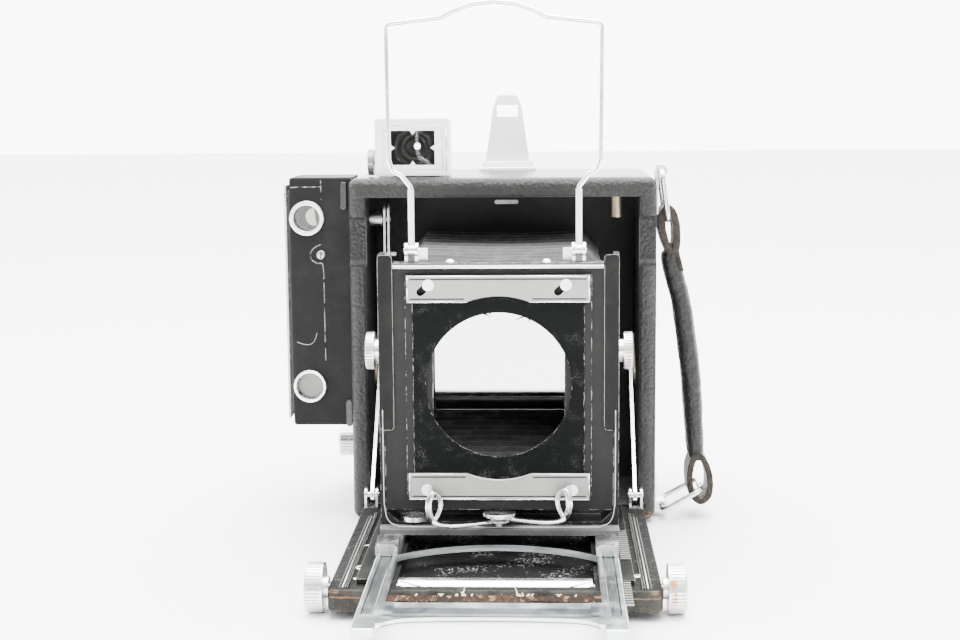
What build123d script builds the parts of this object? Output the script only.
from build123d import *
import os
from math import atan2, cos, degrees, pi, radians, sin, tan

# Folding press camera for 3 1/4 x 4 1/4 inch sheet film, bed open, standard run out.
# Millimetres. +Z up, the camera looks along -Y, +X is the side with the carrying strap.
# The origin is the mouth of the tripod socket, in the middle of the body's underside.

os.makedirs("parts", exist_ok=True)

# ---- body ----
BODY_W, BODY_D, BODY_H = 150.0, 100.0, 170.0
FRONT, REAR = -BODY_D / 2, BODY_D / 2
SIDE_WALL, TOP_WALL, FLOOR = 8.4, 9.5, 9.0
EDGE_R = 5.0
INNER_X = BODY_W / 2 - SIDE_WALL
INNER_TOP = BODY_H - TOP_WALL
NOTCH_LOW, NOTCH_HIGH, NOTCH_DEEP = 127.0, 151.0, 7.0
SOCKET_R, SOCKET_DEEP, BUSH_R = 2.55, 9.0, 6.5
FIT = 0.05                      # radial clearance of a running fit

# ---- focal plane shutter and focusing back ----
GATE_W, GATE_H, GATE_Z = 106.0, 82.6, 88.0
GATE_Y, GATE_T = 36.0, 3.0
ROLLER_Y, UPPER_Z, LOWER_Z = 28.3, 148.0, 24.0
ROLLER_R, ROLLER_HALF, JOURNAL_R = 6.0, 64.0, 2.5
CURTAIN_T = 0.4
BACK_W, BACK_H, BACK_T = 138.0, 132.0, 8.0
GLASS_W, GLASS_H, GLASS_T = 108.0, 88.0, 2.0
PLATE_T = 0.8                   # sheet metal trim
TENSION_R, TENSION_LONG = 8.0, 13.6
KEY_R = 8.5

# ---- bed ----
BED_HALF, BED_T = 68.6, 9.4
BED_FRONT, BED_BACK = -197.4, -53.0
PAN_HALF, PAN_FLOOR = 41.0, 5.0
HINGE_Y, HINGE_Z = -51.5, 2.8
PIN_R, KNUCKLE_R = 1.2, 2.2
KNUCKLES = 9
SHAFT_Y, SHAFT_Z, SHAFT_R = -185.0, 7.3, 1.5
KNOB_R, KNOB_X, KNOB_LONG = 10.4, 71.0, 7.4
BRACE_LOW = (-56.0, 15.0)       # Y, Z of a brace's pivot on the bed
BRACE_HIGH = (-5.0, 75.0)       # Y, Z of its sliding pin in the body
BRACE_X, BRACE_T, BRACE_W = 64.4, 1.6, 6.0
SLIDE_TRAVEL = 3.4              # how far the pin slides as the bed drops

# ---- focusing track ----
RAIL_X, RAIL_W = 47.5, 9.0
RAIL_LOW, RAIL_TOP = 9.6, 13.3
CROSS_LOW = 11.4                # underside of both crosspieces, clear of the shaft's cover
TRACK_FRONT, TRACK_BACK = -257.0, -88.0
GEAR_MODULE, GEAR_TEETH, GEAR_W = 0.6, 12, 3.4
GEAR_PITCH_R = GEAR_MODULE * GEAR_TEETH / 2
RACK_PITCH_Z = SHAFT_Z + GEAR_PITCH_R
TOOTH_SHARE = 0.40              # a tooth's share of the pitch, so both flanks have play
STOP_FRONT, STOP_BACK, STOP_TOP = -160.5, -142.5, 18.7

# ---- standard ----
FACE_Y = -122.4                 # front of the upright covers
FRAME_HALF, FRAME_T = 53.6, 2.2
FRAME_LOW, FRAME_TOP = 13.5, 139.5
FRAME_BACK = -107.0
COVER_W, COVER_T, COVER_LOW = 6.6, 0.9, 60.7
PANEL_HALF, PANEL_T, PANEL_LOW, PANEL_TOP = 51.2, 3.4, 24.0, 133.6
LENS_Z, LENS_HOLE_R, LIGHT_R, LIGHT_FLAT = 81.3, 32.6, 34.5, 29.4
BOARD_HALF, BOARD_LOW, BOARD_TOP, BOARD_T = 38.0, 41.3, 120.0, 1.8
CLIP_HALF, CLIP_T = 40.6, 1.4
TOP_CLIP, BOTTOM_CLIP = (118.4, 130.6), (29.2, 41.4)
RISE_Y, RISE_Z, RISE_R = -113.5, 95.5, 8.4
WIRE_Y, WIRE_Z, WIRE_R, WIRE_X = -116.0, 141.0, 1.0, -1.4

# ---- finders ----
FINDER_X, FINDER_W, FINDER_TOP = -44.0, 36.6, 198.4
FINDER_FRONT = -40.0
RANGE_FRONT, RANGE_BACK = -38.0, -4.0
RANGE_OUT, RANGE_LOW, RANGE_TOP = -105.4, 46.0, 170.0
WINDOW_X, UPPER_WINDOW_Z, LOWER_WINDOW_Z = -96.7, 150.0, 66.0
PEEP_X, PEEP_Y, PEEP_Z = 1.0, 30.0, 173.4

# ---- carrying strap ----
STRAP_Y, STRAP_W = -31.0, 20.0
LINK_R = 1.3


def span(x, y, z, mode=Mode.ADD):
    """A block given by its extent along each axis."""
    with Locations((sum(x) / 2, sum(y) / 2, sum(z) / 2)):
        Box(x[1] - x[0], y[1] - y[0], z[1] - z[0], mode=mode)


def rod(axis, radius, start, end, across, mode=Mode.ADD):
    """A cylinder along "X", "Y" or "Z" from start to end. across is its place on the other two axes."""
    middle = (start + end) / 2
    place = {
        "X": Location((middle, across[0], across[1]), (0, 90, 0)),
        "Y": Location((across[0], middle, across[1]), (90, 0, 0)),
        "Z": Location((across[0], across[1], middle)),
    }[axis]
    with Locations(place):
        Cylinder(radius, abs(end - start), mode=mode)


def at_y(y):
    """The XZ plane at y. Its sketches face -Y, so extrude(amount=t) goes towards the front."""
    return Plane.XZ.offset(-y)


def knurl(axis, radius, start, end, across, ridges):
    """Straight knurling: a ring of fine round grooves cut along the rim of a knob."""
    for k in range(ridges):
        turn = 2 * pi * k / ridges
        a, b = across[0] + radius * cos(turn), across[1] + radius * sin(turn)
        rod(axis, pi * radius / ridges * 0.45, start, end, (a, b), Mode.SUBTRACT)


def save(piece, label):
    piece.part.label = label
    export_step(piece.part, f"parts/{label}.step")


# ======================= body =======================
with BuildPart() as body_box:
    span((-BODY_W / 2, BODY_W / 2), (FRONT, REAR), (0, BODY_H))
    fillet(body_box.edges(), EDGE_R)
    span((-INNER_X, INNER_X), (FRONT, REAR), (FLOOR, INNER_TOP), Mode.SUBTRACT)
    fillet(body_box.faces().sort_by(Axis.Y)[0].inner_wires().edges(), 1.4)
    for side in (-1, 1):
        walls = sorted((side * (INNER_X - 2), side * BODY_W))
        with BuildSketch(Plane.YZ.offset(walls[0])):
            with Locations((FRONT, (NOTCH_LOW + NOTCH_HIGH) / 2)):
                RectangleRounded(2 * NOTCH_DEEP, NOTCH_HIGH - NOTCH_LOW, 4.5)
        extrude(amount=walls[1] - walls[0], mode=Mode.SUBTRACT)
    rod("X", KNUCKLE_R + 0.5, -BODY_W, BODY_W, (HINGE_Y, HINGE_Z), Mode.SUBTRACT)
    rod("Z", BUSH_R, 0, FLOOR, (0, 0), Mode.SUBTRACT)
    for z in (UPPER_Z, LOWER_Z):
        rod("X", JOURNAL_R + FIT, -BODY_W / 2, -INNER_X, (ROLLER_Y, z), Mode.SUBTRACT)
        rod("X", JOURNAL_R + FIT, INNER_X, INNER_X + 4, (ROLLER_Y, z), Mode.SUBTRACT)
    rod("X", 1.5 + FIT, -BODY_W / 2, -INNER_X, (ROLLER_Y, 60), Mode.SUBTRACT)
    rod("X", 1.6 + FIT, -BODY_W / 2, -INNER_X, (-30, 149), Mode.SUBTRACT)
save(body_box, "body_box")

with BuildPart() as tripod_bush:
    rod("Z", BUSH_R - 0.02, 0, SOCKET_DEEP, (0, 0))
    rod("Z", SOCKET_R, 0, SOCKET_DEEP, (0, 0), Mode.SUBTRACT)
save(tripod_bush, "tripod_bush")

# inner wall that carries the bellows, with a small blank badge
BELLOWS_REAR_Y = 8.0
with BuildPart() as bellows_frame:
    span((-INNER_X, INNER_X), (BELLOWS_REAR_Y, BELLOWS_REAR_Y + 2.5), (FLOOR, INNER_TOP))
    span((-37.5, 37.5), (0, 30), (45, 130), Mode.SUBTRACT)
    span((-6.5, 6.5), (BELLOWS_REAR_Y - 0.8, BELLOWS_REAR_Y), (148, 152))
save(bellows_frame, "bellows_frame")

# ======================= shutter =======================
with BuildPart() as shutter_gate:
    span((-INNER_X, INNER_X), (GATE_Y, GATE_Y + GATE_T), (FLOOR, INNER_TOP))
    with BuildSketch(at_y(GATE_Y)):
        with Locations((0, GATE_Z)):
            Rectangle(GATE_W + 3, GATE_H + 3)
    with BuildSketch(at_y(GATE_Y + GATE_T)):
        with Locations((0, GATE_Z)):
            Rectangle(GATE_W, GATE_H)
    loft(mode=Mode.SUBTRACT)
save(shutter_gate, "shutter_gate")

with BuildPart() as shutter_curtain:
    span((-60, 60), (GATE_Y - 1.2 - CURTAIN_T, GATE_Y - 1.2), (LOWER_Z, UPPER_Z))
    span((-GATE_W / 2 - 1, GATE_W / 2 + 1), (0, REAR), (GATE_Z - GATE_H / 2 - 2, GATE_Z + GATE_H / 2 + 2), Mode.SUBTRACT)
save(shutter_curtain, "shutter_curtain")


def roller(axle_out, z):
    rod("X", ROLLER_R, -ROLLER_HALF, ROLLER_HALF, (ROLLER_Y, z))
    rod("X", JOURNAL_R, axle_out, INNER_X + 3.5, (ROLLER_Y, z))


with BuildPart() as upper_roller:
    roller(-BODY_W / 2 - PLATE_T, UPPER_Z)
save(upper_roller, "upper_roller")

SHUTTER_X = -BODY_W / 2 - PLATE_T
with BuildPart() as winding_key:
    rod("X", KEY_R, SHUTTER_X - 3.4, SHUTTER_X - 0.4, (ROLLER_Y, UPPER_Z))
    with BuildSketch(Plane.YZ.offset(SHUTTER_X - 3.4)):
        with Locations((ROLLER_Y, UPPER_Z)):
            SlotOverall(26, 4.2, rotation=90)
    extrude(amount=-9)
    fillet(winding_key.edges().group_by(Axis.X)[0], 1.2)
    rod("X", JOURNAL_R, SHUTTER_X - 0.4, SHUTTER_X, (ROLLER_Y, UPPER_Z))
save(winding_key, "winding_key")

# the knob that sets the spring tension is pinned on the lower roller's axle
with BuildPart() as tension_roller:
    roller(SHUTTER_X, LOWER_Z)
    rod("X", TENSION_R, SHUTTER_X - 1.2 - TENSION_LONG, SHUTTER_X - 1.2, (ROLLER_Y, LOWER_Z))
    chamfer(tension_roller.edges().group_by(Axis.X)[0], 0.8)
    knurl("X", TENSION_R, SHUTTER_X - 0.2 - TENSION_LONG, SHUTTER_X - 3, (ROLLER_Y, LOWER_Z), 32)
    rod("X", 3.6, SHUTTER_X - 1.2, SHUTTER_X - 0.3, (ROLLER_Y, LOWER_Z))
    rod("X", JOURNAL_R, SHUTTER_X - 0.3, SHUTTER_X, (ROLLER_Y, LOWER_Z))
save(tension_roller, "tension_roller")

with BuildPart() as release_button:
    rod("X", 4.0, SHUTTER_X - 5.0, SHUTTER_X - 2.6, (ROLLER_Y, 60))
    fillet(release_button.edges().group_by(Axis.X)[0], 1.0)
    rod("X", 1.5, SHUTTER_X - 2.6, -INNER_X, (ROLLER_Y, 60))
save(release_button, "release_button")

with BuildPart() as shutter_plate:
    with BuildSketch(Plane.YZ.offset(SHUTTER_X)):
        with Locations((ROLLER_Y, (UPPER_Z + LOWER_Z) / 2)):
            RectangleRounded(30, UPPER_Z - LOWER_Z + 24, 6)
        with Locations((ROLLER_Y, UPPER_Z), (ROLLER_Y, LOWER_Z)):
            Circle(JOURNAL_R + FIT, mode=Mode.SUBTRACT)
        with Locations((ROLLER_Y, 60)):
            Circle(1.5 + FIT, mode=Mode.SUBTRACT)
    extrude(amount=PLATE_T)
save(shutter_plate, "shutter_plate")

# focusing back: a spring-held frame with the ground glass
with BuildPart() as back_frame:
    span((-BACK_W / 2, BACK_W / 2), (REAR, REAR + BACK_T), (GATE_Z - BACK_H / 2, GATE_Z + BACK_H / 2))
    fillet(back_frame.edges().filter_by(Axis.Y), 4)
    chamfer(back_frame.faces().sort_by(Axis.Y)[-1].edges(), 1.5)
    span((-50, 50), (REAR, REAR + BACK_T), (GATE_Z - GATE_H / 2, GATE_Z + GATE_H / 2), Mode.SUBTRACT)
    span((-GLASS_W / 2, GLASS_W / 2), (REAR, REAR + 3), (GATE_Z - GLASS_H / 2, GATE_Z + GLASS_H / 2), Mode.SUBTRACT)
save(back_frame, "back_frame")

with BuildPart() as ground_glass:
    span((-GLASS_W / 2 + 0.2, GLASS_W / 2 - 0.2), (REAR + 1, REAR + 3), (GATE_Z - GLASS_H / 2 + 0.2, GATE_Z + GLASS_H / 2 - 0.2))
save(ground_glass, "ground_glass")

with BuildPart() as back_springs:
    for side in (-1, 1):
        with BuildSketch(at_y(REAR + BACK_T)):
            with Locations((0, GATE_Z + side * 49)):
                SlotOverall(112, 7)
        extrude(amount=-1.0)
        for x in (-51, 51):
            rod("Y", 2.6, REAR + BACK_T + 1.0, REAR + BACK_T + 2.2, (x, GATE_Z + side * 49))
save(back_springs, "back_springs")

# ======================= bed hinge =======================
PITCH = 2 * (BED_HALF - 6) / KNUCKLES


def knuckles(first):
    """Every second knuckle of the hinge, bored for its pin."""
    for k in range(first, KNUCKLES, 2):
        low = -BED_HALF + 6 + PITCH * k
        rod("X", KNUCKLE_R, low + 0.1, low + PITCH - 0.1, (HINGE_Y, HINGE_Z))


HINGE_SPAN = (-BED_HALF + 6, BED_HALF - 6)
with BuildPart() as body_hinge_leaf:
    knuckles(0)
    span(HINGE_SPAN, (FRONT - 0.8, FRONT), (6.0, 8.8))
    for k in range(0, KNUCKLES, 2):
        low = HINGE_SPAN[0] + PITCH * k
        span((low + 0.1, low + PITCH - 0.1), (FRONT - 0.8, FRONT), (HINGE_Z, 7))
    rod("X", PIN_R + FIT, -BED_HALF, BED_HALF, (HINGE_Y, HINGE_Z), Mode.SUBTRACT)
save(body_hinge_leaf, "body_hinge_leaf")

with BuildPart() as bed_hinge_leaf:
    knuckles(1)
    span(HINGE_SPAN, (BED_BACK, BED_BACK + 0.8), (6.0, 8.8))
    for k in range(1, KNUCKLES, 2):
        low = HINGE_SPAN[0] + PITCH * k
        span((low + 0.1, low + PITCH - 0.1), (BED_BACK, BED_BACK + 0.8), (HINGE_Z, 7))
    rod("X", PIN_R + FIT, -BED_HALF, BED_HALF, (HINGE_Y, HINGE_Z), Mode.SUBTRACT)
save(bed_hinge_leaf, "bed_hinge_leaf")

with BuildPart() as hinge_pin:
    rod("X", PIN_R, HINGE_SPAN[0] - 1, HINGE_SPAN[1] + 1, (HINGE_Y, HINGE_Z))
save(hinge_pin, "hinge_pin")

# ======================= bed =======================
with BuildPart() as bed_panel:
    span((-BED_HALF, BED_HALF), (BED_FRONT, BED_BACK), (0, BED_T))
    fillet(bed_panel.edges().filter_by(Axis.Z).group_by(Axis.Y)[0], 4)
    fillet(bed_panel.edges().group_by(Axis.Z)[0], 1.6)
    fillet(bed_panel.edges().group_by(Axis.Z)[-1], 0.8)
    span((-PAN_HALF, PAN_HALF), (BED_FRONT + 6.2, -88), (PAN_FLOOR, BED_T), Mode.SUBTRACT)
    rod("X", KNUCKLE_R + 0.5, -BED_HALF, BED_HALF, (HINGE_Y, HINGE_Z), Mode.SUBTRACT)
    rod("X", SHAFT_R + FIT, -BED_HALF, BED_HALF, (SHAFT_Y, SHAFT_Z), Mode.SUBTRACT)
    for side in (-1, 1):
        pocket = sorted((side * (RAIL_X - GEAR_W / 2 - 0.6), side * (RAIL_X + GEAR_W / 2 + 0.6)))
        span(pocket, (SHAFT_Y - 6, SHAFT_Y + 6), (2.2, BED_T), Mode.SUBTRACT)
save(bed_panel, "bed_panel")

# guides beside the track and thin trim strips, screwed to the bed
with BuildPart() as bed_guides:
    for side in (-1, 1):
        guide = sorted((side * (RAIL_X + RAIL_W / 2 + 0.15), side * (RAIL_X + RAIL_W / 2 + 5.4)))
        span(guide, (BED_FRONT + 8, -64), (BED_T, BED_T + 2.6))
        strip = sorted((side * 60.2, side * 61.4))
        span(strip, (BED_FRONT + 3, -74), (BED_T, BED_T + 0.9))
save(bed_guides, "bed_guides")

with BuildPart() as brace_brackets:
    for side in (-1, 1):
        foot = sorted((side * 61.6, side * 68.0))
        span(foot, (-63.0, -53.4), (BED_T, BED_T + 0.9))
        for x in (61.6, 67.0):
            ear = sorted((side * x, side * (x + 1.0)))
            with BuildSketch(Plane.YZ.offset(ear[0])):
                with Locations((BRACE_LOW[0], (BED_T + BRACE_LOW[1]) / 2)):
                    Rectangle(7.6, BRACE_LOW[1] - BED_T)
                with Locations(BRACE_LOW):
                    Circle(3.8)
            extrude(amount=ear[1] - ear[0])
        ends = sorted((side * 61.2, side * 68.4))
        rod("X", 1.3, ends[0], ends[1], BRACE_LOW)
save(brace_brackets, "brace_brackets")

BRACE_DY, BRACE_DZ = BRACE_HIGH[0] - BRACE_LOW[0], BRACE_HIGH[1] - BRACE_LOW[1]
BRACE_LONG = (BRACE_DY**2 + BRACE_DZ**2) ** 0.5
BRACE_TILT = degrees(atan2(BRACE_DZ, BRACE_DY))
for side, label in ((-1, "brace_left"), (1, "brace_right")):
    faces = sorted((side * (BRACE_X - BRACE_T / 2), side * (BRACE_X + BRACE_T / 2)))
    with BuildPart() as brace:
        with BuildSketch(Plane.YZ.offset(faces[0])):
            with Locations(((BRACE_LOW[0] + BRACE_HIGH[0]) / 2, (BRACE_LOW[1] + BRACE_HIGH[1]) / 2)):
                SlotCenterToCenter(BRACE_LONG, BRACE_W, rotation=BRACE_TILT)
            with Locations(BRACE_LOW):
                Circle(1.3 + FIT, mode=Mode.SUBTRACT)
        extrude(amount=BRACE_T)
        pin = sorted((side * (BRACE_X - BRACE_T / 2), side * (INNER_X - 0.2)))
        rod("X", 1.2, pin[0], pin[1], BRACE_HIGH)
    save(brace, label)

# slotted guides for the braces' sliding pins on both side walls, and the brass catch for the bed
with BuildPart() as wall_fittings:
    for side in (-1, 1):
        faces = sorted((side * (INNER_X - 1.1), side * INNER_X))
        slide = (-SLIDE_TRAVEL / 2 * cos(radians(BRACE_TILT)), -SLIDE_TRAVEL / 2 * sin(radians(BRACE_TILT)))
        with BuildSketch(Plane.YZ.offset(faces[0])):
            with Locations(BRACE_HIGH):
                SlotCenterToCenter(22, 11, rotation=BRACE_TILT)
            with Locations((BRACE_HIGH[0] + slide[0], BRACE_HIGH[1] + slide[1])):
                SlotCenterToCenter(SLIDE_TRAVEL + 0.4, 3.4, rotation=BRACE_TILT, mode=Mode.SUBTRACT)
        extrude(amount=1.1)
    rod("Z", 2.5, INNER_TOP - 10.4, INNER_TOP, (55.6, -40))
save(wall_fittings, "wall_fittings")

with BuildPart() as shaft_cover:
    with BuildSketch(Plane.YZ.offset(-40)):
        with Locations((SHAFT_Y, PAN_FLOOR + 0.5)):
            Circle(5.6)
            Circle(4.6, mode=Mode.SUBTRACT)
        with Locations((SHAFT_Y, PAN_FLOOR - 5)):
            Rectangle(14, 10, mode=Mode.SUBTRACT)
    extrude(amount=80)
save(shaft_cover, "shaft_cover")

# ======================= pinion =======================
TOOTH_TAPER = tan(radians(20))


def gear_tooth(radius_mid, half_mid, low, high, shrink):
    """A straight-sided tooth in the plane of the sketch, pointing along +Y of that plane."""
    a, b = half_mid + (radius_mid - low) * shrink, half_mid - (high - radius_mid) * shrink
    Polyline((-a, low), (-b, high), (b, high), (a, low), close=True)


with BuildPart() as pinion_shaft:
    rod("X", SHAFT_R, -KNOB_X, KNOB_X, (SHAFT_Y, SHAFT_Z))
    for side in (-1, 1):
        x0 = side * RAIL_X - GEAR_W / 2
        with BuildSketch(Plane.YZ.offset(x0)):
            with Locations((SHAFT_Y, SHAFT_Z)):
                Circle(GEAR_PITCH_R - GEAR_MODULE)
                with PolarLocations(0, GEAR_TEETH):
                    with BuildSketch(mode=Mode.PRIVATE) as tooth:
                        with BuildLine():
                            gear_tooth(GEAR_PITCH_R, TOOTH_SHARE * pi * GEAR_MODULE / 2,
                                       GEAR_PITCH_R - 1.1 * GEAR_MODULE, GEAR_PITCH_R + 0.85 * GEAR_MODULE, TOOTH_TAPER)
                        make_face()
                    add(tooth.sketch)
        extrude(amount=GEAR_W)
save(pinion_shaft, "pinion_shaft")

for side, label in ((-1, "focus_knob_left"), (1, "focus_knob_right")):
    with BuildPart() as focus_knob:
        inner, outer = side * KNOB_X, side * (KNOB_X + KNOB_LONG)
        rod("X", KNOB_R, inner, outer, (SHAFT_Y, SHAFT_Z))
        rim = focus_knob.edges().filter_by(GeomType.CIRCLE).sort_by(Axis.X)[-1 if side > 0 else 0]
        fillet(rim, 0.9)
        knurl("X", KNOB_R, inner + side * 0.8, outer, (SHAFT_Y, SHAFT_Z), 44)
        rod("X", 7.0, outer - side * 0.8, outer, (SHAFT_Y, SHAFT_Z), Mode.SUBTRACT)
        rod("X", 4.6, inner, side * (BED_HALF + 0.5), (SHAFT_Y, SHAFT_Z))
        rod("X", SHAFT_R, side * (BED_HALF + 0.4), inner, (SHAFT_Y, SHAFT_Z), Mode.SUBTRACT)
    save(focus_knob, label)

# ======================= track =======================
with BuildPart() as focus_track:
    for side in (-1, 1):
        rail = (side * RAIL_X - RAIL_W / 2, side * RAIL_X + RAIL_W / 2)
        span(rail, (TRACK_FRONT, TRACK_BACK), (RAIL_LOW, RAIL_TOP))
    fillet(focus_track.edges().filter_by(Axis.Z), 1.5)
    chamfer(focus_track.edges().group_by(Axis.Z)[-1], 0.5)
    # front crosspiece: a plate with a shallow trough and a front edge that curves in
    with BuildSketch(Plane.XY.offset(CROSS_LOW)):
        with BuildLine():
            Polyline((44, -224), (44, TRACK_FRONT + 6), (41, TRACK_FRONT + 7))
            Spline((41, TRACK_FRONT + 7), (36, -245.8), (26, -243.6), (-26, -243.6), (-36, -245.8), (-41, TRACK_FRONT + 7))
            Polyline((-41, TRACK_FRONT + 7), (-44, TRACK_FRONT + 6), (-44, -224), (44, -224))
        make_face()
    extrude(amount=RAIL_TOP - 0.1 - CROSS_LOW)
    with BuildSketch(Plane.YZ.offset(-38)):
        with Locations((-233, RAIL_TOP + 59.0)):
            Circle(60)
    extrude(amount=76, mode=Mode.SUBTRACT)
    # arched rear crosspiece
    with BuildSketch(Plane.XY.offset(CROSS_LOW)):
        with BuildLine():
            ThreePointArc((-43.5, -156), (0, -139), (43.5, -156))
            Line((43.5, -156), (43.5, -162))
            ThreePointArc((43.5, -162), (0, -144.6), (-43.5, -162))
            Line((-43.5, -162), (-43.5, -156))
        make_face()
    extrude(amount=1.2)
    # grooves for the racks, under both rails
    for side in (-1, 1):
        groove = (side * RAIL_X - 2.1, side * RAIL_X + 2.1)
        span(groove, (TRACK_FRONT + 5, TRACK_BACK), (RAIL_LOW - 1, RACK_PITCH_Z + 1.5), Mode.SUBTRACT)
save(focus_track, "focus_track")

RACK_STEP = pi * GEAR_MODULE
RACK_TEETH = int((TRACK_BACK - TRACK_FRONT - 12) / RACK_STEP)
with BuildPart() as focus_racks:
    for side in (-1, 1):
        bar = (side * RAIL_X - 1.9, side * RAIL_X + 1.9)
        first = SHAFT_Y + RACK_STEP / 2 - RACK_STEP * int((SHAFT_Y - TRACK_FRONT - 8) / RACK_STEP)
        span(bar, (first - RACK_STEP / 2, TRACK_BACK - 1), (RACK_PITCH_Z + GEAR_MODULE + 0.25, RACK_PITCH_Z + 1.5))
        with BuildSketch(Plane.YZ.offset(bar[0])):
            count = int((TRACK_BACK - 2 - first) / RACK_STEP)
            with Locations(*[(first + RACK_STEP * k, RACK_PITCH_Z + 0.3) for k in range(count)]):
                with BuildSketch(mode=Mode.PRIVATE) as tooth:
                    half = TOOTH_SHARE * RACK_STEP / 2
                    low, high = 0.3 + 0.85 * GEAR_MODULE, GEAR_MODULE
                    with BuildLine():
                        Polyline((-half - high * TOOTH_TAPER, high), (-half + low * TOOTH_TAPER, -low),
                                 (half - low * TOOTH_TAPER, -low), (half + high * TOOTH_TAPER, high), close=True)
                    make_face()
                add(tooth.sketch)
        extrude(amount=bar[1] - bar[0])
save(focus_racks, "focus_racks")

# infinity stops: a wedge clamped on each rail, with a small flap in front that folds forward
STOP_PIN = (STOP_FRONT + 0.7, RAIL_TOP + 0.85)
with BuildPart() as stop_blocks:
    for side in (-1, 1):
        near, far = side * RAIL_X - 5.0, side * RAIL_X + 4.6
        with BuildSketch(Plane.YZ.offset(near)):
            with BuildLine():
                Polyline((STOP_BACK, RAIL_TOP), (STOP_BACK, STOP_TOP - 0.4), (STOP_FRONT + 8, STOP_TOP - 0.4),
                         (STOP_FRONT + 1.6, STOP_TOP - 1.4), (STOP_FRONT + 1.6, RAIL_TOP), close=True)
            make_face()
        extrude(amount=far - near)
        for x in (near, far - 0.8):
            span((x, x + 0.8), (STOP_FRONT, STOP_FRONT + 1.6), (RAIL_TOP, RAIL_TOP + 1.7))
        rod("X", 0.4, near, far, STOP_PIN)
save(stop_blocks, "stop_blocks")

for side, label in ((-1, "stop_flap_left"), (1, "stop_flap_right")):
    near, far = side * RAIL_X - 4.1, side * RAIL_X + 3.7
    with BuildPart() as stop_flap:
        span((near, far), (STOP_FRONT, STOP_FRONT + 1.4), (RAIL_TOP + 0.85, STOP_TOP))
        fillet(stop_flap.edges().filter_by(Axis.Y).group_by(Axis.Z)[-1], 1.0)
        rod("X", 0.7, near, far, STOP_PIN)
        rod("X", 0.4 + FIT, near, far, STOP_PIN, Mode.SUBTRACT)
    save(stop_flap, label)

# ======================= standard =======================
with BuildPart() as standard_base:
    span((-FRAME_HALF, FRAME_HALF), (-126.0, -101.0), (RAIL_TOP + 0.1, FRAME_LOW + 3.6))
    chamfer(standard_base.edges().group_by(Axis.Z)[-1].sort_by(Axis.Y)[0], 1.2)
    span((-38, 38), (-119.0, -104.0), (RAIL_LOW - 1, FRAME_LOW + 2), Mode.SUBTRACT)
save(standard_base, "standard_base")

BASE_TOP = FRAME_LOW + 3.6
with BuildPart() as standard_frame:
    with BuildSketch(at_y(FRAME_BACK)):
        with BuildLine():
            Polyline((-FRAME_HALF, FRAME_TOP), (-FRAME_HALF, BASE_TOP), (FRAME_HALF, BASE_TOP), (FRAME_HALF, FRAME_TOP),
                     (FRAME_HALF - FRAME_T, FRAME_TOP), (FRAME_HALF - FRAME_T, BASE_TOP + 7),
                     (FRAME_HALF - FRAME_T - 5.6, BASE_TOP + 1.4), (-FRAME_HALF + FRAME_T + 5.6, BASE_TOP + 1.4),
                     (-FRAME_HALF + FRAME_T, BASE_TOP + 7), (-FRAME_HALF + FRAME_T, FRAME_TOP), close=True)
        make_face()
    extrude(amount=FRAME_BACK - FACE_Y - COVER_T)
    for side in (-1, 1):
        wall = sorted((side * (FRAME_HALF - FRAME_T - 1), side * (FRAME_HALF + 1)))
        rod("X", 2.0 + FIT, wall[0], wall[1], (RISE_Y, RISE_Z), Mode.SUBTRACT)
save(standard_frame, "standard_frame")

with BuildPart() as upright_covers:
    for side in (-1, 1):
        x = side * (FRAME_HALF - COVER_W / 2)
        with BuildSketch(at_y(FACE_Y + COVER_T)):
            with Locations((x, (COVER_LOW + FRAME_TOP) / 2)):
                RectangleRounded(COVER_W, FRAME_TOP - COVER_LOW, 1.6)
        extrude(amount=COVER_T)
save(upright_covers, "upright_covers")

# two lock levers on one pivot: a bowed arm with an upright finger loop on its end
PIVOT = (0.0, -123.6)
LOOP_X, LOOP_BACK, LOOP_DEEP = 29.0, -127.4, 5.0
for side, label, low in ((-1, "lock_lever_left", BASE_TOP + 1.6), (1, "lock_lever_right", BASE_TOP + 3.3)):
    with BuildPart() as lock_lever:
        with BuildSketch(Plane.XY.offset(low)):
            with BuildLine():
                Spline((side * 2, PIVOT[1] - 3.6), (side * 15, PIVOT[1] - 9.4), (side * LOOP_X, PIVOT[1] - 8.4))
                Line((side * LOOP_X, PIVOT[1] - 8.4), (side * LOOP_X, PIVOT[1] - 4.6))
                Spline((side * LOOP_X, PIVOT[1] - 4.6), (side * 15, PIVOT[1] - 5.2), (side * 2, PIVOT[1] + 3.6))
                Line((side * 2, PIVOT[1] + 3.6), (side * 2, PIVOT[1] - 3.6))
            make_face()
            with Locations(PIVOT):
                Circle(4.6)
                Circle(1.8 + FIT, mode=Mode.SUBTRACT)
        extrude(amount=1.5)
        with BuildSketch(at_y(LOOP_BACK)):
            with Locations((side * LOOP_X, low + 8.0)):
                SlotOverall(16.0, 6.4, rotation=90)
                SlotOverall(12.0, 2.6, rotation=90, mode=Mode.SUBTRACT)
        extrude(amount=LOOP_DEEP)
    save(lock_lever, label)

with BuildPart() as base_discs:
    rod("Z", 1.8, BASE_TOP, BASE_TOP + 5.0, PIVOT)
    rod("Z", 7.4, BASE_TOP + 5.0, BASE_TOP + 6.5, PIVOT)
    rod("Z", 6.0, BASE_TOP + 1.4, BASE_TOP + 3.4, (-38.6, -117.5))
    fillet(base_discs.edges().filter_by(GeomType.CIRCLE).group_by(Axis.Z)[-1], 0.6)
save(base_discs, "base_discs")

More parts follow.
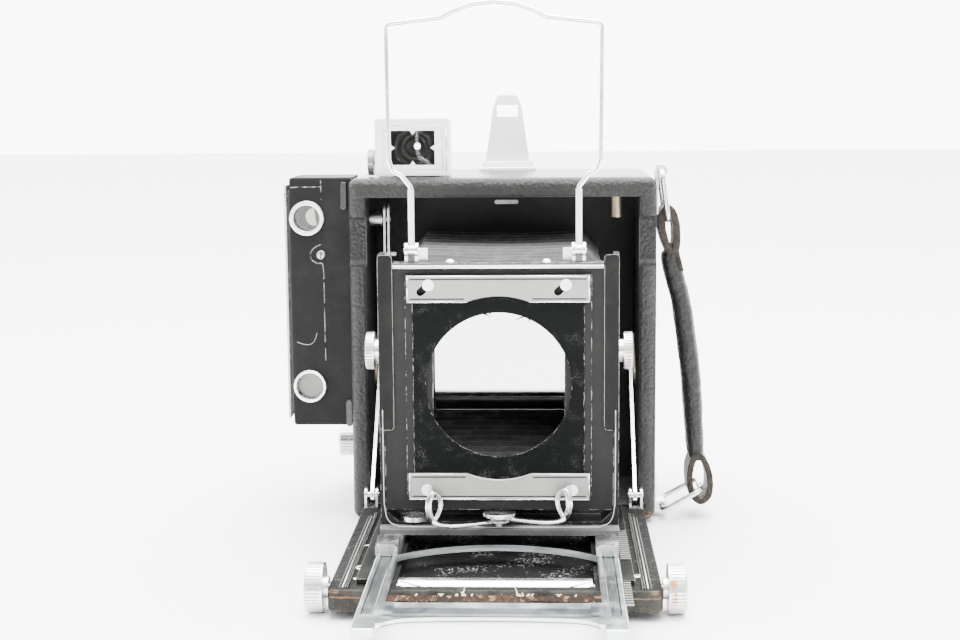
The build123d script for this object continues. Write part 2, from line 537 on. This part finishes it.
for side, label in ((-1, "rise_knob_left"), (1, "rise_knob_right")):
    with BuildPart() as rise_knob:
        face = side * FRAME_HALF
        rod("X", RISE_R, face + side * 2.4, face + side * 6.2, (RISE_Y, RISE_Z))
        fillet(rise_knob.edges().filter_by(GeomType.CIRCLE).sort_by(Axis.X)[-1 if side > 0 else 0], 0.8)
        knurl("X", RISE_R, face + side * 3.0, face + side * 6.2, (RISE_Y, RISE_Z), 36)
        rod("X", 5.2, face + side * 0.2, face + side * 2.4, (RISE_Y, RISE_Z))
        rod("X", 2.0, face - side * (FRAME_T + 0.0), face + side * 0.2, (RISE_Y, RISE_Z))
    save(rise_knob, label)

# ======================= lens panel =======================
PANEL_FRONT = FACE_Y + COVER_T + 0.3
PANEL_BACK = PANEL_FRONT + PANEL_T
with BuildPart() as lens_panel:
    span((-PANEL_HALF, PANEL_HALF), (PANEL_FRONT, PANEL_BACK), (PANEL_LOW, PANEL_TOP))
    # the light hole has flats at both sides
    with BuildSketch(at_y(PANEL_FRONT)):
        with Locations((0, LENS_Z)):
            Circle(LIGHT_R)
            Rectangle(2 * LIGHT_FLAT, 2 * LIGHT_R, mode=Mode.INTERSECT)
    extrude(amount=PANEL_FRONT - PANEL_BACK, mode=Mode.SUBTRACT)
    for side in (-1, 1):
        strip = sorted((side * 38.2, side * 41.4))
        span(strip, (FACE_Y + 0.2, PANEL_FRONT), (BOTTOM_CLIP[0] + 2, TOP_CLIP[1]))
save(lens_panel, "lens_panel")

with BuildPart() as lens_board:
    span((-BOARD_HALF, BOARD_HALF), (PANEL_FRONT - BOARD_T, PANEL_FRONT), (BOARD_LOW - 2, BOARD_TOP + 2))
    rod("Y", LENS_HOLE_R, PANEL_FRONT - BOARD_T, PANEL_FRONT, (0, LENS_Z), Mode.SUBTRACT)
save(lens_board, "lens_board")

CLIP_BACK = PANEL_FRONT - BOARD_T - 0.1
CLIP_FRONT = CLIP_BACK - CLIP_T
SLOTS = ((-34.4, 123.2), (26.4, 123.2))
SLOT_RUN = (3.6, 3.2)
SCREW_SPOTS = tuple((x + SLOT_RUN[0], z + SLOT_RUN[1]) for x, z in SLOTS)
with BuildPart() as top_clip:
    with BuildSketch(at_y(CLIP_BACK)):
        with Locations((0, sum(TOP_CLIP) / 2)):
            Rectangle(2 * CLIP_HALF, TOP_CLIP[1] - TOP_CLIP[0])
        with Locations((0, TOP_CLIP[0] - 35.2)):
            Circle(38.0, mode=Mode.SUBTRACT)
        for x, z in SLOTS:
            with Locations((x + SLOT_RUN[0] / 2, z + SLOT_RUN[1] / 2)):
                SlotCenterToCenter((SLOT_RUN[0] ** 2 + SLOT_RUN[1] ** 2) ** 0.5, 3.4,
                                   rotation=degrees(atan2(SLOT_RUN[1], SLOT_RUN[0])), mode=Mode.SUBTRACT)
    extrude(amount=CLIP_T)
    chamfer(top_clip.faces().sort_by(Axis.Y)[0].outer_wire().edges(), 0.3)
save(top_clip, "top_clip")

with BuildPart() as bottom_clip:
    with BuildSketch(at_y(CLIP_BACK)):
        with Locations((0, sum(BOTTOM_CLIP) / 2)):
            Rectangle(2 * CLIP_HALF, BOTTOM_CLIP[1] - BOTTOM_CLIP[0])
        with Locations((0, BOTTOM_CLIP[1] + 35.2)):
            Circle(38.0, mode=Mode.SUBTRACT)
        with Locations((-32.2, 34.0), (32.6, 34.0)):
            Circle(1.3 + 0.1, mode=Mode.SUBTRACT)
    extrude(amount=CLIP_T)
    chamfer(bottom_clip.faces().sort_by(Axis.Y)[0].outer_wire().edges(), 0.3)
save(bottom_clip, "bottom_clip")

with BuildPart() as clip_screws:
    for x, z in SCREW_SPOTS + ((-32.2, 34.0), (32.6, 34.0)):
        rod("Y", 1.3, CLIP_FRONT - 0.1, PANEL_FRONT, (x, z))
        rod("Y", 2.6, CLIP_FRONT - 0.9, CLIP_FRONT - 0.1, (x, z))
        span((x - 3, x + 3), (CLIP_FRONT - 0.9, CLIP_FRONT - 0.55), (z - 0.3, z + 0.3), Mode.SUBTRACT)
save(clip_screws, "clip_screws")

# plate on the panel's top edge, with two pairs of ears for the wire frame
LEG_HALF = 37.2
with BuildPart() as wire_bracket:
    span((-46.7, 46.7), (FACE_Y, -113.6), (PANEL_TOP, PANEL_TOP + 2.4))
    for side in (-1, 1):
        leg = WIRE_X + side * LEG_HALF
        for near in (leg - 1.6 - 1.4, leg + 1.6):
            with BuildSketch(Plane.YZ.offset(near)):
                with Locations((WIRE_Y, (PANEL_TOP + 2.4 + WIRE_Z) / 2)):
                    Rectangle(4.8, WIRE_Z - PANEL_TOP - 2.4)
                with Locations((WIRE_Y, WIRE_Z)):
                    Circle(3.4)
            extrude(amount=1.4)
        rod("X", 1.0, leg - 3.4, leg + 3.4, (WIRE_Y, WIRE_Z))
        # riveted foot of the inner ear
        foot = sorted((leg - side * 2.6, leg - side * 7.0))
        span(foot, (-114.8, -113.6), (PANEL_TOP + 2.0, PANEL_TOP + 8.4))
        span(sorted((leg - side * 1.6, leg - side * 3.0)), (-116, -113.6), (PANEL_TOP + 2.0, PANEL_TOP + 8.4))
        rod("Y", 1.1, -115.6, -114.6, (leg - side * 5.0, PANEL_TOP + 6.0))
    with Locations((-21.5, -116, PANEL_TOP + 2.4), (21.5, -116, PANEL_TOP + 2.4)):
        Sphere(2.4, arc_size1=0)
save(wire_bracket, "wire_bracket")

WIRE_HALF, WIRE_SHOULDER, WIRE_TOP, HUMP_TOP = 46.9, 240.8, 243.2, 249.6
with BuildPart() as wire_frame:
    with BuildLine(at_y(WIRE_Y)) as wire_path:
        points = [(LEG_HALF, WIRE_Z), (LEG_HALF, 169), (LEG_HALF + 4.2, 174.3), (LEG_HALF + 8.2, 176.4), (WIRE_HALF, 181)]
        points += [(WIRE_HALF + 0.4, 240.4), (23.0, WIRE_TOP)]
        hump = [(17.5, 246.0), (9.5, 248.9), (0, 249.9)]
        half = points + hump
        outline = [(WIRE_X + x, z) for x, z in half] + [(WIRE_X - x, z) for x, z in reversed(half[:-1])]
        FilletPolyline(*outline, radius=3.0)
    with BuildSketch(Plane(origin=wire_path.line @ 0, z_dir=wire_path.line % 0)):
        Circle(WIRE_R)
    sweep()
    for side in (-1, 1):
        leg = WIRE_X + side * LEG_HALF
        rod("Z", 1.4, WIRE_Z, 168, (leg, WIRE_Y))
        rod("X", 2.6, leg - 1.4, leg + 1.4, (WIRE_Y, WIRE_Z))
        rod("X", 1.0 + FIT, leg - 2, leg + 2, (WIRE_Y, WIRE_Z), Mode.SUBTRACT)
save(wire_frame, "wire_frame")

# ======================= bellows =======================
FOLDS = 12
BELLOWS_FRONT_Y = PANEL_BACK
SKIN = 1.0


def bellows_ring(t, crest, inset):
    """Half width, lowest and highest point of the folded wall at t, from 0 at the panel to 1 in the body."""
    half = 47.0 + 1.0 * t - (0 if crest else 9.0) - inset
    low = 28.5 + 6.0 * t + (0 if crest else 9.0) + inset
    high = 134.6 + 5.6 * t - (0 if crest else 9.0) - inset
    return half, low, high


def bellows_solid(inset):
    for k in range(2 * FOLDS):
        ends = []
        for j in (k, k + 1):
            t = j / (2 * FOLDS)
            half, low, high = bellows_ring(t, j % 2 == 1, inset)
            y = BELLOWS_FRONT_Y + t * (BELLOWS_REAR_Y - BELLOWS_FRONT_Y)
            with BuildSketch(at_y(y), mode=Mode.PRIVATE) as ring:
                with Locations((0, (low + high) / 2)):
                    Rectangle(2 * half, high - low)
            ends.append(ring.sketch)
        loft(sections=ends, ruled=True)


with BuildPart() as bellows_inside:
    bellows_solid(SKIN)
with BuildPart() as bellows:
    bellows_solid(0)
    add(bellows_inside.part, mode=Mode.SUBTRACT)
save(bellows, "bellows")

# ======================= optical finder =======================
with BuildPart() as finder_housing:
    x0, x1 = FINDER_X - FINDER_W / 2, FINDER_X + FINDER_W / 2
    span((x0, x1), (FINDER_FRONT, FINDER_FRONT + 20), (BODY_H + 0.6, FINDER_TOP))
    fillet(finder_housing.edges().filter_by(Axis.Y), 1.2)
    with BuildSketch(at_y(FINDER_FRONT + 20)):
        with Locations((FINDER_X, 184.2)):
            RectangleRounded(27, 21, 2)
    with BuildSketch(at_y(FINDER_FRONT + 52)):
        with Locations((FINDER_X, 184.2)):
            RectangleRounded(17, 17, 4)
    loft()
    rod("Y", 8.0, FINDER_FRONT + 52, FINDER_FRONT + 60, (FINDER_X, 184.2))
    span((FINDER_X - 12, FINDER_X + 12), (FINDER_FRONT + 20, FINDER_FRONT + 52), (BODY_H, BODY_H + 1.8))
    span((FINDER_X - 6, FINDER_X + 6), (FINDER_FRONT + 26, FINDER_FRONT + 44), (BODY_H + 1, 178))
    span((FINDER_X - 14.5, FINDER_X + 14.5), (FINDER_FRONT, FINDER_FRONT + 18), (173.2, 195.2), Mode.SUBTRACT)
    rod("Y", 4.0, FINDER_FRONT + 10, FINDER_FRONT + 60, (FINDER_X, 184.2), Mode.SUBTRACT)
    rod("X", 1.3 + FIT, x0 - 1, x0 + 4, (-30, 177), Mode.SUBTRACT)
    # blackened mask with pointed centring marks
    with BuildSketch(at_y(FINDER_FRONT + 3.6)):
        with Locations((FINDER_X, 184.2)):
            Rectangle(29, 22)
            Rectangle(21.6, 16.8, mode=Mode.SUBTRACT)
        for x, z, turn in ((0, 8.5, 180), (0, -8.5, 0), (10.9, 0, 90), (-10.9, 0, -90)):
            with Locations(Location((FINDER_X + x, 184.2 + z, 0), (0, 0, turn))):
                with BuildSketch(mode=Mode.PRIVATE) as mark:
                    with BuildLine():
                        Polyline((-1.5, 0), (1.5, 0), (0, 2.2), close=True)
                    make_face()
                add(mark.sketch)
    extrude(amount=0.6)
save(finder_housing, "finder_housing")

with BuildPart() as parallax_dial:
    dial_x = FINDER_X - FINDER_W / 2
    rod("X", 6.4, dial_x - 4.2, dial_x - 1.4, (-30, 177))
    knurl("X", 6.4, dial_x - 4.2, dial_x - 1.4, (-30, 177), 30)
    rod("X", 1.3, dial_x - 1.4, dial_x + 2.6, (-30, 177))
save(parallax_dial, "parallax_dial")

with BuildPart() as peep_base:
    span((PEEP_X - 15, PEEP_X + 15), (PEEP_Y - 7, PEEP_Y + 7), (BODY_H, BODY_H + 1.4))
    fillet(peep_base.edges().filter_by(Axis.Z), 2)
    for x in (PEEP_X - 13.2, PEEP_X + 12.0):
        with BuildSketch(Plane.YZ.offset(x)):
            with Locations((PEEP_Y, BODY_H + 2.4)):
                Rectangle(5, 2.0)
            with Locations((PEEP_Y, PEEP_Z)):
                Circle(2.5)
        extrude(amount=1.2)
    rod("X", 0.9, PEEP_X - 13.6, PEEP_X + 13.6, (PEEP_Y, PEEP_Z))
save(peep_base, "peep_base")

with BuildPart() as peep_sight:
    with BuildSketch(at_y(PEEP_Y + 0.6)):
        with BuildLine():
            Polyline((PEEP_X - 11.4, PEEP_Z), (PEEP_X - 11.4, PEEP_Z + 3), (PEEP_X - 7.4, 204), (PEEP_X - 5.0, 209.6),
                     (PEEP_X + 5.0, 209.6), (PEEP_X + 7.4, 204), (PEEP_X + 11.4, PEEP_Z + 3), (PEEP_X + 11.4, PEEP_Z), close=True)
        make_face()
        with Locations((PEEP_X, 201.4)):
            Rectangle(11, 6, mode=Mode.SUBTRACT)
    extrude(amount=1.2)
    fillet(peep_sight.edges().filter_by(Axis.Y).group_by(Axis.Z)[-1], 2.5)
    rod("X", 1.7, PEEP_X - 11.6, PEEP_X + 11.6, (PEEP_Y, PEEP_Z))
    rod("X", 0.9 + FIT, PEEP_X - 12, PEEP_X + 12, (PEEP_Y, PEEP_Z), Mode.SUBTRACT)
save(peep_sight, "peep_sight")

# ======================= rangefinder =======================
with BuildPart() as rangefinder_body:
    span((RANGE_OUT, -BODY_W / 2), (RANGE_FRONT, RANGE_BACK), (RANGE_LOW, RANGE_TOP))
    fillet(rangefinder_body.edges().filter_by(Axis.Y).group_by(Axis.X)[0], 1.6)
    fillet(rangefinder_body.edges().filter_by(Axis.Z).group_by(Axis.X)[0], 1.2)
    for z in (UPPER_WINDOW_Z, LOWER_WINDOW_Z):
        rod("Y", 6.3, RANGE_FRONT, RANGE_FRONT + 12, (WINDOW_X, z), Mode.SUBTRACT)
    rod("Y", 3.4, RANGE_BACK - 4, RANGE_BACK, (WINDOW_X, UPPER_WINDOW_Z), Mode.SUBTRACT)
    rod("X", 1.6 + FIT, -BODY_W / 2 - 6, -BODY_W / 2, (-30, 149), Mode.SUBTRACT)
save(rangefinder_body, "rangefinder_body")

with BuildPart() as rangefinder_cover:
    span((RANGE_OUT - 1.6, RANGE_OUT), (RANGE_FRONT + 3, RANGE_BACK - 3), (RANGE_LOW + 7, RANGE_TOP - 7))
    span((RANGE_OUT - 2.6, RANGE_OUT - 1.6), (RANGE_FRONT + 0.6, RANGE_BACK - 0.6), (RANGE_LOW + 3.5, RANGE_TOP - 4))
save(rangefinder_cover, "rangefinder_cover")

# window rings, and the two clips beside the body
with BuildPart() as rangefinder_trim:
    for z, outer, inner in ((UPPER_WINDOW_Z, 8.6, 6.4), (LOWER_WINDOW_Z, 8.2, 6.6)):
        rod("Y", outer, RANGE_FRONT - 1.8, RANGE_FRONT, (WINDOW_X, z))
        rod("Y", inner, RANGE_FRONT - 1.8, RANGE_FRONT, (WINDOW_X, z), Mode.SUBTRACT)
    for x, z in ((-78.2, 161.0), (-77.2, 52.5)):
        with BuildSketch(at_y(RANGE_FRONT)):
            with Locations((x, z)):
                RectangleRounded(3.2, 13.5, 1.2)
        extrude(amount=1.8)
    fillet(rangefinder_trim.edges().group_by(Axis.Y)[0], 0.5)
save(rangefinder_trim, "rangefinder_trim")

with BuildPart() as window_glasses:
    for z in (UPPER_WINDOW_Z, LOWER_WINDOW_Z):
        rod("Y", 6.2, RANGE_FRONT + 1.2, RANGE_FRONT + 2.4, (WINDOW_X, z))
    span((FINDER_X - 14.3, FINDER_X + 14.3), (FINDER_FRONT + 4.4, FINDER_FRONT + 6.2), (173.4, 195.0))
save(window_glasses, "window_glasses")

# lever inside the body that carries the track's travel to the rangefinder
LEVER_AXIS = (-30.0, 149.0)
with BuildPart() as rangefinder_lever:
    rod("X", 1.6, -BODY_W / 2 - 5, -56.0, LEVER_AXIS)
    rod("X", 3.4, -INNER_X + 0.4, -60.0, LEVER_AXIS)
    for x in (-59.4, -57.4):
        with BuildSketch(Plane.YZ.offset(x)):
            with Locations((LEVER_AXIS[0], 142.5)):
                SlotOverall(28, 6, rotation=90)
        extrude(amount=1.0)
    rod("X", 1.4, -59.4, -53.4, (LEVER_AXIS[0], 131.5))
save(rangefinder_lever, "rangefinder_lever")

# ======================= carrying strap =======================
TOP_EYE = (77.6, 172.2)         # X, Z of the upper link in its lug
LOW_EYE = (79.2, 4.0)
LINK_LOW = (80.6, 148.6)        # X, Z of the upper link in the strap
LINK_HIGH = (98.0, 14.4)        # X, Z of the lower link in the strap
with BuildPart() as strap_lugs:
    for eye, plate in ((TOP_EYE, (151.0, 168.0)), (LOW_EYE, (8.0, 22.0))):
        span((BODY_W / 2, BODY_W / 2 + 1.2), (STRAP_Y - 7, STRAP_Y + 7), plate)
        near = sorted((eye[1], sum(plate) / 2))
        span((BODY_W / 2, BODY_W / 2 + 1.2), (STRAP_Y - 5, STRAP_Y + 5), near)
        span((BODY_W / 2, eye[0]), (STRAP_Y - 5, STRAP_Y + 5), (eye[1] - 3.0, eye[1] + 3.0))
        rod("Y", 3.0, STRAP_Y - 5, STRAP_Y + 5, eye)
        rod("Y", LINK_R + 0.5, STRAP_Y - 5, STRAP_Y + 5, eye, Mode.SUBTRACT)
save(strap_lugs, "strap_lugs")


def link(start, end):
    """A closed wire loop: two bars along Y joined by two bars in the plane of the strap."""
    tilt = Plane(origin=(start[0], STRAP_Y, start[1]), x_dir=(0, 1, 0), z_dir=(end[1] - start[1], 0, start[0] - end[0]))
    long = ((end[0] - start[0]) ** 2 + (end[1] - start[1]) ** 2) ** 0.5
    half = STRAP_W / 2 + 2.4
    with BuildLine(tilt) as path:
        FilletPolyline((half, 0), (half, long), (-half, long), (-half, 0), radius=4.0, close=True)
    with BuildSketch(Plane(origin=path.line @ 0, z_dir=path.line % 0)) as section:
        Circle(LINK_R)
    sweep(section.sketch, path=path.line)


with BuildPart() as strap_link_top:
    link(TOP_EYE, LINK_LOW)
save(strap_link_top, "strap_link_top")

with BuildPart() as strap_link_bottom:
    link(LOW_EYE, LINK_HIGH)
save(strap_link_bottom, "strap_link_bottom")

with BuildPart() as carrying_strap:
    with BuildSketch(at_y(STRAP_Y + STRAP_W / 2)):
        with BuildLine():
            Spline((81.6, 154.0), (87.4, 149.0), (87.0, 131.0), (93.4, 105.0), (98.8, 68.0), (100.0, 31.0),
                   (103.6, 20.0), (101.2, 8.2), (96.4, 6.0))
            Spline((96.4, 6.0), (91.4, 12.0), (90.8, 31.0), (89.6, 60.0), (83.8, 102.0), (77.6, 130.0), (76.8, 149.0), (81.6, 154.0))
        make_face()
    extrude(amount=STRAP_W)
    with BuildSketch(at_y(STRAP_Y + STRAP_W / 2)):
        with Locations((81.2, 145.4)):
            SlotOverall(14.5, 5.6, rotation=100)
        with Locations((97.2, 17.4)):
            SlotOverall(15.0, 6.0, rotation=82)
    extrude(amount=STRAP_W, mode=Mode.SUBTRACT)
save(carrying_strap, "carrying_strap")
